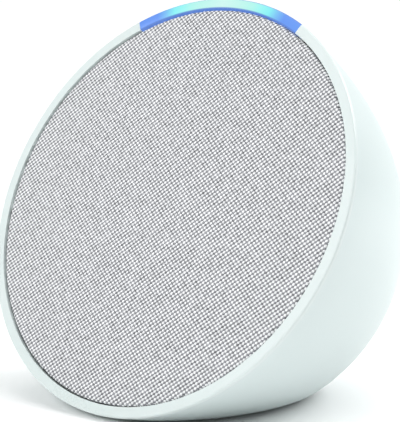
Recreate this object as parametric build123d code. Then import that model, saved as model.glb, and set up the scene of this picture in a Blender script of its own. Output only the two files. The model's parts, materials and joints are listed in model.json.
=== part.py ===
from build123d import *
import math
import os

# A half-dome table speaker, in millimetres. The front looks along -Y, +Z is up, and the origin is the
# middle of the bounding box on the plane that the rubber foot stands on.
# Most pieces are laid out in the face frame: its origin is the middle of the front rim, its x is the
# row's X, its y runs up the leaning face, and "depth" counts backwards from the rim's front plane.

# Overall shape
rim_radius = 49.5
tilt = 25.5  # how far the face leans back, degrees
disc_height = 46.1  # middle of the rim above the table
dome_radius = 49.3  # the shell's radius where it starts behind the rim
dome_depth = 63.2  # rim plane to the dome's pole
dome_draft = 3.9  # inward slope of the shell behind the rim, degrees
dome_handle = 36.7  # how long the shell keeps that slope
pole_handle = 31.1  # how broad the dome's back is
wall = 2.0
base_height = 0.5  # underside of the shell, above the table
base_wall = 3.5
base_round = 9.0

# Rim, light bar and grille
cloth_radius = 46.9
rim_inner_radius = 47.1
lip_depth = 1.0  # front ring of the bezel
seam = 0.15  # hairline between the bezel and the shell
spigot_outer = 47.75
spigot_depth = 4.5
shell_lip_radius = 47.85
shell_lip_depth = 7.0
flange_inner = 44.5
flange_front = 2.5
flange_back = 4.0
bar_half_angle = 28.8
bar_gap = 0.1
cloth_front = 0.3
cloth_thickness = 0.4
frame_thickness = 1.5
grille_hole = 1.6
grille_pitch = 5.0

# Keys and microphones, spread round the top of the shell
key_depth = 16.0
key_angles = {"volume_down": 112.0, "mic_off": 90.0, "volume_up": 68.0}
key_radius = 4.3
key_gap = 0.2
key_proud = 0.25
flange_radius = 5.2
flange_base = 42.6
stem_radius = 1.3
circuit_radius = 38.4
circuit_thickness = 0.3
switch_height = 1.6
plunger_height = 0.7
mic_angles = (79.0, 101.0)
mic_hole = 0.5

# Loudspeaker, on the face axis
baffle_front = 8.0
baffle_thickness = 2.0
baffle_radius = 45.3
driver_front = 6.5
driver_flange = 27.5
driver_screw_circle = 25.3
boss_circle = 41.0
boss_radius = 3.0
clamp_circle = 39.6
clamp_angles = (15.0, 165.0, -15.0, -165.0)
dust_cap_front = 8.3
dust_cap_ball = 14.0
terminal_front, terminal_back = 17.4, 18.4
lug_x = 3.6
wire_radius = 0.6
wire_pitch = 1.8
wire_start_y = -21.5
wire_exit_x, wire_exit_y = 9.0, -13.0

# Acoustic chamber and electronics
chamber_front_radius = 36.9
chamber_back_radius = 31.0
chamber_back = 40.0
chamber_wall = 1.8
chamber_floor = 7.0  # lowest height of the chamber above the table
post_points = [(-21.0, 17.0), (21.0, 17.0), (-22.0, -13.0), (22.0, -13.0)]
board_front = 43.0
board_back = 44.6
board_radius = 29.5
board_floor = -19.0
board_hole = 1.1
board_screw_radius = 0.85
board_screw_head = 2.0
board_screw_height = 1.3
board_screw_tip = 39.1
capacitor_points = [(14.0, -14.5), (-6.0, -16.2), (16.0, -8.8)]
capacitor_radius = 2.0
capacitor_height = 4.5
processor_size = (-13, 5, 10, 10, 1.2)  # middle on the board, width, height and thickness
processor_can = (-13, 5, 15, 13, 2.2)
radio_can = (13.5, 8, 12, 10, 2.0)
inductor_size = (-20.0, -7.0, 5, 5, 3.0)
chip_sizes = [(-12, -12, 7, 7, 0.9), (0, -12.5, 6, 5, 0.9), (14.5, -3.5, 5, 6, 0.8), (0, 11.5, 8, 6, 1.0)]
shield_wall = 0.25
spreader_lift = 3.0
spreader_thickness = 1.0
fin_count = 5
fin_pitch = 2.8
fin_width = 0.8
fin_height = 1.6
antenna_x, antenna_y = 9, 26
antenna_width = 16
antenna_height = 4.0
antenna_thickness = 0.6
ribbon_points = [
    (38.55, -key_depth - 4.7),
    (38.55, -23.0),
    (36.4, -33.0),
    (33.4, -41.0),
    (31.4, -46.05),
    (26.0, -46.05),
]
ribbon_half_width = 4.0
ribbon_half_thickness = 0.12

# Power inlet
port_radius = 5.2
collar_radius = 7.2
collar_front = 55.5
jack_face = 55.2
jack_width = 10.6
jack_hole = 2.2
pin_radius = 0.85
leaf_width = 1.6
leaf_thickness = 0.3

# Base, in the row frame
base_middle = -8.5
plate_x, plate_y = 18.4, 24.4
mouth_x, mouth_y = 12.4, 18.4
foot_x, foot_y = 17.4, 23.4
foot_inner_x, foot_inner_y = 11.6, 17.6
base_screws_at = [(sx * 10.6, base_middle + sy * 14.6) for sx in (-1, 1) for sy in (-1, 1)]
plate_gap = 0.05
plate_top = 3.0
foot_height = 1.2
base_screw_hole = 1.5
base_screw_recess = 2.5
base_screw_head = 2.3
base_screw_shank = 1.25
base_screw_low = 1.25
base_screw_top = 2.2
base_screw_tip = 6.0
base_pilot = 1.3
base_post_height = 6.5

# Grille clips
hole_margin = 3.5
clip_angles = (30, 150, 210, 330, 270)
clip_half_angle = 3
clip_inner = 43.4
clip_outer = 44.2
hook_outer = 45.0
hook_height = 0.6
hook_play = 0.1

# Keys, switches and microphones
dish_radius = 30.1
dish_middle = 77.2  # distance of the dish's centre from the face axis
key_play = 0.15
plunger_radius = 0.9
plunger_sink = 0.6
switch_width = 4.6
switch_well = 1.05
well_floor = 0.35
solder_gap = 0.02
mic_width = 2.6
mic_length = 3.5
mic_height = 1.0
mic_seal_radius = 1.5
mic_seal_hole = 0.6
circuit_half_angle = 29.5
circuit_half_width = 4.5
bracket_half_angle = 32
bracket_half_width = 5
bracket_thickness = 1.2
rib_angle = 31
rib_height = 3

# Light strip
strip_inner = 44.6
strip_outer = 47.6
strip_front = 6.0
strip_back = 6.5
carrier_outer = 46.2
diode_circle = 47.0
diode_count = 6
diode_length = 3.2
diode_width = 0.8
diode_height = 1.2

# Screws and their holes: head radius, head front, head back, shank radius and tip
baffle_screw = (2.6, 6.6, baffle_front, 1.4, 18)
chamber_screw = (2.3, 6.8, baffle_front, 1.1, 16)
driver_screw = (1.5, 5.3, driver_front, 1.05, 13, 0.4)
baffle_opening = 22.6
baffle_hole = 1.6
boss_pilot = 1.45
boss_pilot_back = 19
standoff_radius = 2.4
standoff_height = 4
ear_radius = 2.9
ear_neck_radius = 2.6
ear_neck_share = 0.93
ear_back = 19
ear_pilot = 1.15
ear_pilot_back = 17
gasket_thickness = 0.6
post_radius = 2.4
post_pilot = 0.9

# Loudspeaker sections, as (radius, depth) corners about the face axis
flange_joint = 7.5  # depth where the basket's flange meets its gasket
driver_hole = 1.4
gasket_inner = 22.8
basket_section = [
    (21.0, driver_front),
    (driver_flange, driver_front),
    (driver_flange, flange_joint),
    (22.3, 7.5),
    (16.3, 20.0),
    (16.3, 21.0),
    (8.0, 21.0),
    (8.0, 20.0),
    (14.6, 20.0),
    (15.4, 17.6),
    (13.9, 17.6),
    (13.9, 16.6),
    (15.9, 16.6),
]
window_half_angle = 27
window_front = 8.6
window_back = 16.0
coil_former = (6.85, 7.05, 12.3, 25.5)  # inner and outer radius, front and back depth
coil_winding = (7.05, 7.4, 20.6, 24.6)
spider_ring = (7.1, 13.85, 16.7, 17.1)
top_plate_ring = (7.7, 15.5, 21.0, 24.0)
magnet_ring = (9.0, 16.0, 24.0, 29.0)
yoke_plate = (0, 15.5, 29.0, 32.0)
pole_piece = (0, 6.6, 21.4, 29.0)
pole_vent = (0, 2.0, 20, 33)
cone_section = [(7.1, 12.6), (17.6, 6.8), (18.6, 6.5), (18.6, 6.9), (17.8, 7.2), (7.1, 13.2)]
dust_cap_edge = 8.8
dust_cap_back = 11.5
dust_cap_thickness = 0.3
roll_middle = 20.6
roll_outer = 2.1
roll_inner = 1.7
roll_start = 17.7
roll_end = 23.4
roll_thickness = 0.4

# Wire and grommet
grommet_radius = 2.5
grommet_lip_radius = 3.4
grommet_lip = 0.8
wire_bend = 2.5
wire_turn_depth = 23.5
wire_slant = (2.0, -18.6, 30.5)  # right of the terminal, height on the face and depth
wire_gather_depth = 36.0

lean = math.radians(tilt)
far = 200.0  # larger than the object, for cutting bodies
seam_turn = 13.0  # turns the closing seam of every round face off the planes of symmetry


def outline_point(t, inset=0.0):
    """Radius and depth on the dome's side curve, t from 0 at the rim to 1 at the pole."""
    ends = outline_handles(inset)
    weights = ((1 - t) ** 3, 3 * (1 - t) ** 2 * t, 3 * (1 - t) * t**2, t**3)
    return tuple(sum(w * p[i] for w, p in zip(weights, ends)) for i in (0, 1))


def outline_handles(inset=0.0):
    """The four control points of the side curve moved inwards by inset, as radius and depth."""
    slope = math.radians(dome_draft)
    side = (dome_radius - dome_handle * math.sin(slope), dome_handle * math.cos(slope))
    return (
        (dome_radius - inset, 0.0),
        (side[0] - inset, side[1] - 0.5 * inset),
        (pole_handle - 0.625 * inset, dome_depth - inset),
        (0.0, dome_depth - inset),
    )


def rear_reach():
    """How far the dome's back stands behind the middle of the rim, along Y."""
    points = [outline_point(i / 1000) for i in range(1001)]
    return max(r * math.sin(lean) + d * math.cos(lean) for r, d in points)


face_y = (rim_radius * math.sin(lean) - rear_reach()) / 2
face = Plane(
    origin=(0, face_y, disc_height),
    x_dir=(1, 0, 0),
    z_dir=(0, -math.cos(lean), math.sin(lean)),
)


# Building blocks in the face frame


def turned(*points):
    """A ring or disc with this section, given as (radius, depth) corners, about the face axis."""
    section = make_face(Polyline(*[(r, -d) for r, d in points], close=True))
    return face * Rot(0, 0, seam_turn) * revolve(Plane.XZ * section, Axis.Z)


def ring(inner, outer, front, back):
    if inner == 0:
        return turned((0, front), (outer, front), (outer, back), (0, back))
    return turned((inner, front), (outer, front), (outer, back), (inner, back))


def rod(x, y, radius, front, back):
    """A round rod along the face axis from one depth to another."""
    start = Cylinder(radius, back - front, align=(Align.CENTER, Align.CENTER, Align.MAX))
    return face * Location((x, y, -front)) * Rot(0, 0, seam_turn) * start


def block(x, y, width, height, front, back):
    body = Box(width, height, back - front, align=(Align.CENTER, Align.CENTER, Align.MAX))
    return face * Location((x, y, -front)) * body


def around(radius, angle):
    """Point of a circle about the face axis; 90 degrees is the top."""
    return radius * math.cos(math.radians(angle)), radius * math.sin(math.radians(angle))


def dome(inset=0.0):
    """The dome's solid, moved inwards by inset, from the rim plane to the pole."""
    start, side, back, pole = [(r, -d) for r, d in outline_handles(inset)]
    edges = Curve() + [Bezier(start, side, back, pole), Line(pole, (0, 0)), Line((0, 0), start)]
    return face * Rot(0, 0, seam_turn) * revolve(Plane.XZ * make_face(edges), Axis.Z)


def behind(depth):
    """Everything further back than this depth."""
    return block(0, 0, far, far, depth, depth + far)


def above(height):
    """Everything over this height above the table."""
    return Location((0, 0, height)) * Box(far, far, far, align=(Align.CENTER, Align.CENTER, Align.MIN))


def wedge(middle, half_angle, inner, outer, front, back):
    """A sector of a ring about the face axis."""
    corners = ((inner, -front), (outer, -front), (outer, -back), (inner, -back))
    section = make_face(Polyline(*corners, close=True))
    swept = revolve(Plane.XZ * section, Axis.Z, 2 * half_angle)
    return face * Rot(0, 0, middle - half_angle) * swept


def radial(angle, depth=key_depth):
    """Location whose z axis leaves the face axis at this angle, at this depth; its y looks forwards."""
    x, y = around(1.0, angle)
    local = Plane(origin=(0, 0, -depth), x_dir=(y, -x, 0), z_dir=(x, y, 0))
    return face.location * local.location


def radial_rod(angle, radius, low, high, depth=key_depth):
    body = Cylinder(radius, high - low, align=(Align.CENTER, Align.CENTER, Align.MIN))
    return radial(angle, depth) * Location((0, 0, low)) * body


def radial_block(angle, width, length, low, high, depth=key_depth):
    body = Box(width, length, high - low, align=(Align.CENTER, Align.CENTER, Align.MIN))
    return radial(angle, depth) * Location((0, 0, low)) * body


def upright(x, y, radius, low, high):
    """A round rod standing over the table, in the row frame."""
    return Location((x, y, low)) * Cylinder(radius, high - low, align=(Align.CENTER, Align.CENTER, Align.MIN))


def oval(half_x, half_y, low, high):
    """An elliptical slab over the base, in the row frame."""
    body = extrude(Ellipse(half_x, half_y), high - low)
    return Location((0, base_middle, low)) * body


def screw(x, y, head_radius, head_front, head_back, shank_radius, tip, slot=0.5):
    """A cross-head screw along the face axis, its head towards the front."""
    body = rod(x, y, head_radius, head_front, head_back) + rod(x, y, shank_radius, head_back, tip)
    for turn in (0, 90):
        bar = Box(head_radius * 1.1, 0.5, slot, align=(Align.CENTER, Align.CENTER, Align.MAX))
        body -= face * Location((x, y, -head_front)) * Rot(0, 0, turn) * bar
    return body


boss_points = [around(boss_circle, a) for a in (45, 135, 225, 315)]
driver_points = [around(driver_screw_circle, a) for a in (45, 135, 225, 315)]
clamp_points = [around(clamp_circle, a) for a in clamp_angles]


# Housing


def rear_shell():
    outer = dome() & above(base_height)
    outer = fillet(outer.faces().sort_by(Axis.Z)[0].edges(), base_round)
    outer -= block(0, 0, far, far, -1, lip_depth + seam)
    hollow = dome(wall) & above(base_height + base_wall)
    hollow -= rod(0, 0, collar_radius, collar_front, dome_depth)
    for x, y in boss_points:
        hollow -= rod(x, y, boss_radius, baffle_front + baffle_thickness, dome_depth)
    for x, y in base_screws_at:
        hollow -= upright(x, y, boss_radius, 0, base_post_height)
    shell = outer - hollow
    shell -= ring(0, shell_lip_radius, 0, shell_lip_depth)
    shell -= rod(0, 0, port_radius, collar_front - 1, dome_depth + 1)
    for angle in key_angles.values():
        shell -= radial_rod(angle, key_radius + key_gap, circuit_radius, far / 2)
    for angle in mic_angles:
        shell -= radial_rod(angle, mic_hole, circuit_radius, far / 2)
    for x, y in boss_points:
        shell -= rod(x, y, boss_pilot, baffle_front, boss_pilot_back)
    shell -= oval(plate_x + 0.2, plate_y + 0.2, 0, plate_top)
    shell -= oval(mouth_x, mouth_y, 0, base_height + base_wall + 1)
    for x, y in base_screws_at:
        shell -= upright(x, y, base_pilot, 0, base_post_height - 0.3)
    return shell


def front_bezel():
    lip = turned(
        (rim_inner_radius, 0),
        (rim_radius - 0.35, 0),
        (rim_radius - 0.1, 0.1),
        (rim_radius, 0.35),
        (rim_radius, lip_depth),
        (spigot_outer, lip_depth),
        (spigot_outer, spigot_depth),
        (flange_inner, spigot_depth),
        (flange_inner, flange_front),
        (rim_inner_radius, flange_front),
    )
    relief = ring(flange_inner - 1, 46.4, flange_back, spigot_depth + 1)
    gap = wedge(90, bar_half_angle + bar_gap, rim_inner_radius - 0.02, far / 2, -1, spigot_depth + 1)
    return lip - relief - gap


def light_bar():
    return wedge(90, bar_half_angle, rim_inner_radius, rim_radius, 0, lip_depth) + wedge(
        90, bar_half_angle, rim_inner_radius, spigot_outer, lip_depth, spigot_depth
    )


def grille_frame():
    front = cloth_front + cloth_thickness
    back = front + frame_thickness
    edge = cloth_radius - cloth_thickness
    plate = Circle(edge)
    reach = int(edge / grille_pitch) + 2
    step = grille_pitch * math.sqrt(3) / 2
    holes = []
    for row in range(-reach, reach + 1):
        for column in range(-reach, reach + 1):
            x = (column + (row % 2) / 2) * grille_pitch
            y = row * step
            if math.hypot(x, y) < edge - hole_margin:
                holes.append(Location((x, y)) * Circle(grille_hole))
    plate -= holes
    body = face * Location((0, 0, -back)) * extrude(plate, frame_thickness)
    hook_front = flange_back + hook_play
    for angle in clip_angles:
        body += wedge(angle, clip_half_angle, clip_inner, clip_outer, back, hook_front + hook_height)
        body += wedge(angle, clip_half_angle, clip_inner, hook_outer, hook_front, hook_front + hook_height)
    return body


def grille_cloth():
    """The cloth over the frame's front and round its edge."""
    edge = cloth_radius - cloth_thickness
    back = cloth_front + cloth_thickness
    return turned(
        (0, cloth_front),
        (cloth_radius, cloth_front),
        (cloth_radius, back + frame_thickness),
        (edge, back + frame_thickness),
        (edge, back),
        (0, back),
    )


def key(angle):
    """A key with its cap in the shell's hole, a flange under the shell and a stem to its switch."""
    cap = radial_rod(angle, key_radius, flange_base, far / 2) & dome(-key_proud)
    flange = radial_rod(angle, flange_radius, flange_base, far / 2) & dome(wall + key_play)
    dish = radial(angle) * Location((0, 0, dish_middle)) * Sphere(dish_radius)
    stem_foot = circuit_radius + circuit_thickness + switch_height + plunger_height
    return cap + flange + radial_rod(angle, stem_radius, stem_foot, flange_base) - dish


def plunger(angle):
    top = circuit_radius + circuit_thickness + switch_height
    return radial_rod(angle, plunger_radius, top - plunger_sink, top + plunger_height)


def key_switches():
    bodies = []
    low = circuit_radius + circuit_thickness + solder_gap
    for angle in key_angles.values():
        case = radial_block(angle, switch_width, switch_width, low, low + switch_height - solder_gap)
        well = radial_rod(angle, switch_well, low + well_floor, low + 2 * switch_height)
        bodies.append(case - well)
    return bodies


def microphones():
    low = circuit_radius + circuit_thickness + solder_gap
    return [radial_block(a, mic_width, mic_length, low, low + mic_height) for a in mic_angles]


def microphone_seals():
    low = circuit_radius + circuit_thickness + mic_height + 0.05
    seals = []
    for angle in mic_angles:
        body = radial_rod(angle, mic_seal_radius, low, far / 2) & dome(wall + 0.05)
        seals.append(body - radial_rod(angle, mic_seal_hole, low - 1, far / 2))
    return seals


def key_circuit():
    top = circuit_radius + circuit_thickness
    front, back = key_depth - circuit_half_width, key_depth + circuit_half_width
    return wedge(90, circuit_half_angle, circuit_radius, top, front, back)


def key_bracket():
    front, back = baffle_front + baffle_thickness, key_depth + bracket_half_width
    bracket = wedge(90, bracket_half_angle, circuit_radius - bracket_thickness, circuit_radius, front, back)
    for side in (-1, 1):
        bracket += wedge(90 + side * rib_angle, 1, circuit_radius, circuit_radius + rib_height, front, back)
    return bracket


def base_plate():
    plate = oval(plate_x, plate_y, base_height + plate_gap, plate_top)
    plate -= foot_ring()
    for x, y in base_screws_at:
        plate -= upright(x, y, base_screw_recess, 0, base_screw_top)
        plate -= upright(x, y, base_screw_hole, 0, plate_top + 1)
    return plate


def foot_ring():
    return oval(foot_x, foot_y, 0, foot_height) - oval(foot_inner_x, foot_inner_y, -1, foot_height + 1)


def base_screws():
    """Short screws from below the base plate into the shell's posts."""
    screws = []
    for x, y in base_screws_at:
        body = upright(x, y, base_screw_head, base_screw_low, base_screw_top)
        body += upright(x, y, base_screw_shank, base_screw_low, base_screw_tip)
        for turn in (0, 90):
            slot = Box(2.6, 0.5, 0.5, align=(Align.CENTER, Align.CENTER, Align.MIN))
            body -= Location((x, y, base_screw_low)) * Rot(0, 0, turn) * slot
        screws.append(body)
    return screws


# Light


def light_strip():
    return wedge(90, bar_half_angle, strip_inner, strip_outer, strip_front, strip_back)


def light_diodes():
    diodes = []
    for i in range(diode_count):
        angle = 90 + bar_half_angle * (2 * i + 1 - diode_count) / diode_count
        x, y = around(diode_circle, angle)
        body = Box(diode_length, diode_width, diode_height, align=(Align.CENTER, Align.CENTER, Align.MIN))
        diodes.append(face * Location((x, y, -strip_front)) * Rot(0, 0, angle - 90) * body)
    return diodes


def strip_carrier():
    return wedge(90, bar_half_angle, strip_inner, carrier_outer, strip_back, baffle_front)


# Acoustics


def baffle():
    back = baffle_front + baffle_thickness
    plate = ring(baffle_opening, baffle_radius, baffle_front, back) & above(base_height + base_wall + 0.5)
    for x, y in driver_points:
        plate += rod(x, y, standoff_radius, back, back + standoff_height)
        plate -= rod(x, y, 1.1, 0, back + standoff_height + 1)
    for x, y in boss_points + clamp_points:
        plate -= rod(x, y, baffle_hole, 0, back + 1)
    return plate


def baffle_screws():
    return [screw(x, y, *baffle_screw) for x, y in boss_points]


def chamber_body(inset):
    """The chamber's solid moved inwards by inset on every side but the front."""
    front = baffle_front + baffle_thickness
    cone = turned(
        (0, front),
        (chamber_front_radius - inset, front),
        (chamber_back_radius - inset, chamber_back - inset),
        (0, chamber_back - inset),
    )
    return cone & above(chamber_floor + inset)


def chamber_section():
    """The chamber's wall with its four clamp ears, open at the front."""
    front = baffle_front + baffle_thickness
    body = chamber_body(0)
    for x, y in clamp_points:
        body += rod(x, y, ear_radius, front, ear_back)
        body += rod(x * ear_neck_share, y * ear_neck_share, ear_neck_radius, front, ear_back)
    body -= chamber_body(chamber_wall)
    for x, y in clamp_points:
        body -= rod(x, y, ear_pilot, 0, ear_pilot_back)
    return body


def chamber_gasket():
    front = baffle_front + baffle_thickness
    return chamber_section() & block(0, 0, far, far, front, front + gasket_thickness)


def acoustic_chamber():
    front = baffle_front + baffle_thickness
    body = chamber_section() & behind(front + gasket_thickness)
    body -= rod(wire_exit_x, wire_exit_y, grommet_radius, chamber_back - 2 * chamber_wall, chamber_back + 1)
    for x, y in post_points:
        body += rod(x, y, post_radius, chamber_back, board_front)
        body -= rod(x, y, post_pilot, chamber_back - 1, board_front + 1)
    return body


def chamber_screws():
    return [screw(x, y, *chamber_screw) for x, y in clamp_points]


def wire_grommet():
    back_wall = chamber_back - chamber_wall
    body = rod(wire_exit_x, wire_exit_y, grommet_radius, back_wall, chamber_back)
    body += rod(wire_exit_x, wire_exit_y, grommet_lip_radius, back_wall - grommet_lip, back_wall)
    body += rod(wire_exit_x, wire_exit_y, grommet_lip_radius, chamber_back, chamber_back + grommet_lip)
    for side in (-1, 1):
        body -= rod(wire_exit_x + side * wire_pitch / 2, wire_exit_y, wire_radius + 0.02, 0, 60)
    return body


# Loudspeaker


def driver_gasket():
    body = ring(gasket_inner, driver_flange, flange_joint, baffle_front)
    for x, y in driver_points:
        body -= rod(x, y, driver_hole, flange_joint - 1, baffle_front + 1)
    return body


def driver_basket():
    body = turned(*basket_section)
    for turn in range(4):
        body -= wedge(turn * 90, window_half_angle, 12, 30, window_front, window_back)
    for x, y in driver_points:
        body -= rod(x, y, driver_hole, driver_front - 1, flange_joint + 1)
    return body


def driver_surround():
    """The half-roll between the cone and the basket, with a flat lip on each side."""
    top, under = -driver_front, -driver_front + roll_thickness
    reach = math.sqrt(roll_outer**2 - roll_thickness**2)
    section = make_face(
        Curve()
        + [
            Line((roll_start, top), (roll_middle - roll_inner, top)),
            ThreePointArc(
                (roll_middle - roll_inner, top),
                (roll_middle, top + roll_inner),
                (roll_middle + roll_inner, top),
            ),
            Line((roll_middle + roll_inner, top), (roll_end, top)),
            Line((roll_end, top), (roll_end, under)),
            Line((roll_end, under), (roll_middle + reach, under)),
            ThreePointArc(
                (roll_middle + reach, under),
                (roll_middle, top + roll_outer),
                (roll_middle - reach, under),
            ),
            Line((roll_middle - reach, under), (roll_start, under)),
            Line((roll_start, under), (roll_start, top)),
        ]
    )
    return face * Rot(0, 0, seam_turn) * revolve(Plane.XZ * section, Axis.Z)


def driver_cone():
    return turned(*cone_section)


def dust_cap():
    """A shallow domed cap glued over the cone's throat, cut from a thin ball."""
    middle = face * Location((0, 0, -dust_cap_front - dust_cap_ball))
    shell = middle * Sphere(dust_cap_ball) - middle * Sphere(dust_cap_ball - dust_cap_thickness)
    return shell & rod(0, 0, dust_cap_edge, dust_cap_front - 1, dust_cap_back)


def driver_screws():
    return [screw(x, y, *driver_screw) for x, y in driver_points]


def driver_terminals():
    """Terminal board on the basket's lower side, with two lugs."""
    board = block(0, -20.2, 11, 5.6, terminal_front, terminal_back)
    board -= turned((0, 17.0), (17.8, 17.0), (17.1, 18.5), (0, 18.5))
    for side in (-1, 1):
        board += block(side * lug_x, wire_start_y, 1.6, 2.0, terminal_front - 0.5, terminal_front)
    return board


def speaker_wire(side):
    """A lead from the terminals through the grommet to the main board."""
    start_x = side * lug_x
    exit_x = wire_exit_x + side * wire_pitch / 2
    path = FilletPolyline(
        (start_x, wire_start_y, -terminal_back),
        (start_x, wire_start_y, -wire_turn_depth),
        (start_x + wire_slant[0], wire_slant[1], -wire_slant[2]),
        (exit_x, wire_exit_y, -wire_gather_depth),
        (exit_x, wire_exit_y, -board_front),
        radius=wire_bend,
    )
    section = Plane(origin=path @ 0, z_dir=path % 0) * Circle(wire_radius)
    return face * sweep(section, path=path)


# Electronics


def main_board():
    board = rod(0, 0, board_radius, board_front, board_back)
    board &= block(0, board_floor + far / 2, far, far, 0, far)
    for x, y in post_points:
        board -= rod(x, y, board_hole, board_front - 1, board_back + 1)
    for side in (-1, 1):
        lead_x = wire_exit_x + side * wire_pitch / 2
        board -= rod(lead_x, wire_exit_y, wire_radius + 0.1, board_front - 1, board_back + 1)
    return board


def board_screws():
    """Short screws from the back of the main board into the chamber's posts."""
    screws = []
    for x, y in post_points:
        body = rod(x, y, board_screw_head, board_back, board_back + board_screw_height)
        body += rod(x, y, board_screw_radius, board_screw_tip, board_back)
        for turn in (0, 90):
            slot = Box(2.4, 0.45, 0.5, align=(Align.CENTER, Align.CENTER, Align.MIN))
            body -= face * Location((x, y, -board_back - board_screw_height)) * Rot(0, 0, turn) * slot
        screws.append(body)
    return screws


def chip(x, y, width, height, thickness):
    return block(x, y, width, height, board_back, board_back + thickness)


def shield(x, y, width, height, thickness):
    """A pressed can, open towards the board."""
    inside = chip(x, y, width - 2 * shield_wall, height - 2 * shield_wall, thickness - shield_wall)
    return chip(x, y, width, height, thickness) - inside


def board_chips():
    return [chip(*size) for size in chip_sizes]


def capacitors():
    top = board_back + capacitor_height
    return [rod(x, y, capacitor_radius, board_back, top) for x, y in capacitor_points]


def board_connectors():
    ribbon = chip(0, 24.4, 10, 4.4, 2.2) - block(0, 25.2, 8.3, 3.6, board_back + 1.2, board_back + 1.7)
    speaker = block(wire_exit_x, wire_exit_y, 5.6, 3.6, board_back, board_back + 3.0)
    return [ribbon, speaker]


def thermal_pad():
    x, y, width, height, thickness = processor_can
    return block(x, y, width - 2, height - 2, board_back + thickness, board_back + spreader_lift)


def heat_spreader():
    x, y, width, height = processor_can[:4]
    low = board_back + spreader_lift
    top = low + spreader_thickness
    plate = block(x, y, width, height, low, top)
    for row in range(fin_count):
        fin_y = y + (row - (fin_count - 1) / 2) * fin_pitch
        plate += block(x, fin_y, width - 2, fin_width, top, top + fin_height)
    return plate


def antenna(side):
    """A small antenna board glued behind the chamber."""
    back = chamber_back + antenna_thickness
    return block(side * antenna_x, antenna_y, antenna_width, antenna_height, chamber_back, back)


def key_ribbon():
    """Flat ribbon from the key circuit over the chamber to the main board's connector."""
    middle = FilletPolyline(*ribbon_points, radius=1.5)
    side = Plane(origin=(0, 0, 0), x_dir=(0, 1, 0), z_dir=(1, 0, 0))
    outline = offset(Wire(middle.edges()), ribbon_half_thickness, side=Side.BOTH)
    strip = side * make_face(outline.edges())
    return face.location * extrude(strip, ribbon_half_width, both=True)


def power_jack():
    body = block(0, 0, jack_width, jack_width, board_back, jack_face)
    body -= rod(0, 0, jack_hole, board_back + 2, jack_face + 1)
    return body


def jack_pin():
    return rod(0, 0, pin_radius, board_back + 2, jack_face - 0.8)


def jack_contact():
    """The sprung leaf that touches the plug's barrel."""
    leaf = block(0, jack_hole - leaf_thickness, leaf_width, leaf_thickness, board_back + 2, jack_face - 3)
    return leaf & rod(0, 0, jack_hole - 0.02, board_back, jack_face)


nodes = {
    "rear_shell": rear_shell,
    "front_bezel": front_bezel,
    "light_bar": light_bar,
    "grille_frame": grille_frame,
    "grille_cloth": grille_cloth,
    "base_plate": base_plate,
    "foot_ring": foot_ring,
    "base_screws": base_screws,
    "key_bracket": key_bracket,
    "key_circuit": key_circuit,
    "key_switches": key_switches,
    "microphones": microphones,
    "microphone_seals": microphone_seals,
    "light_strip": light_strip,
    "light_diodes": light_diodes,
    "strip_carrier": strip_carrier,
    "baffle": baffle,
    "baffle_screws": baffle_screws,
    "chamber_gasket": chamber_gasket,
    "acoustic_chamber": acoustic_chamber,
    "chamber_screws": chamber_screws,
    "wire_grommet": wire_grommet,
    "driver_gasket": driver_gasket,
    "driver_basket": driver_basket,
    "driver_surround": driver_surround,
    "driver_cone": driver_cone,
    "dust_cap": dust_cap,
    "voice_coil_former": lambda: ring(*coil_former),
    "voice_coil_winding": lambda: ring(*coil_winding),
    "spider": lambda: ring(*spider_ring),
    "top_plate": lambda: ring(*top_plate_ring),
    "ring_magnet": lambda: ring(*magnet_ring),
    "yoke": lambda: ring(*yoke_plate) + ring(*pole_piece) - ring(*pole_vent),
    "driver_screws": driver_screws,
    "driver_terminals": driver_terminals,
    "speaker_wire_positive": lambda: speaker_wire(-1),
    "speaker_wire_negative": lambda: speaker_wire(1),
    "main_board": main_board,
    "board_screws": board_screws,
    "processor": lambda: chip(*processor_size),
    "processor_shield": lambda: shield(*processor_can),
    "thermal_pad": thermal_pad,
    "heat_spreader": heat_spreader,
    "radio_shield": lambda: shield(*radio_can),
    "board_chips": board_chips,
    "capacitors": capacitors,
    "power_inductor": lambda: chip(*inductor_size),
    "board_connectors": board_connectors,
    "wifi_antenna": lambda: antenna(-1),
    "bluetooth_antenna": lambda: antenna(1),
    "key_ribbon": key_ribbon,
    "power_jack": power_jack,
    "jack_pin": jack_pin,
    "jack_contact": jack_contact,
}
for name, angle in key_angles.items():
    nodes[f"{name}_key"] = lambda a=angle: key(a)
    nodes[f"{name}_plunger"] = lambda a=angle: plunger(a)

os.makedirs("parts", exist_ok=True)
for name, make in nodes.items():
    made = make()
    solids = [s for piece in (made if isinstance(made, list) else [made]) for s in piece.solids()]
    export_step(Compound(children=solids) if len(solids) > 1 else solids[0], f"parts/{name}.step")
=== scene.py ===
import json
import math

import bmesh
import bpy
import numpy as np
from mathutils import Matrix, Vector


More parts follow.
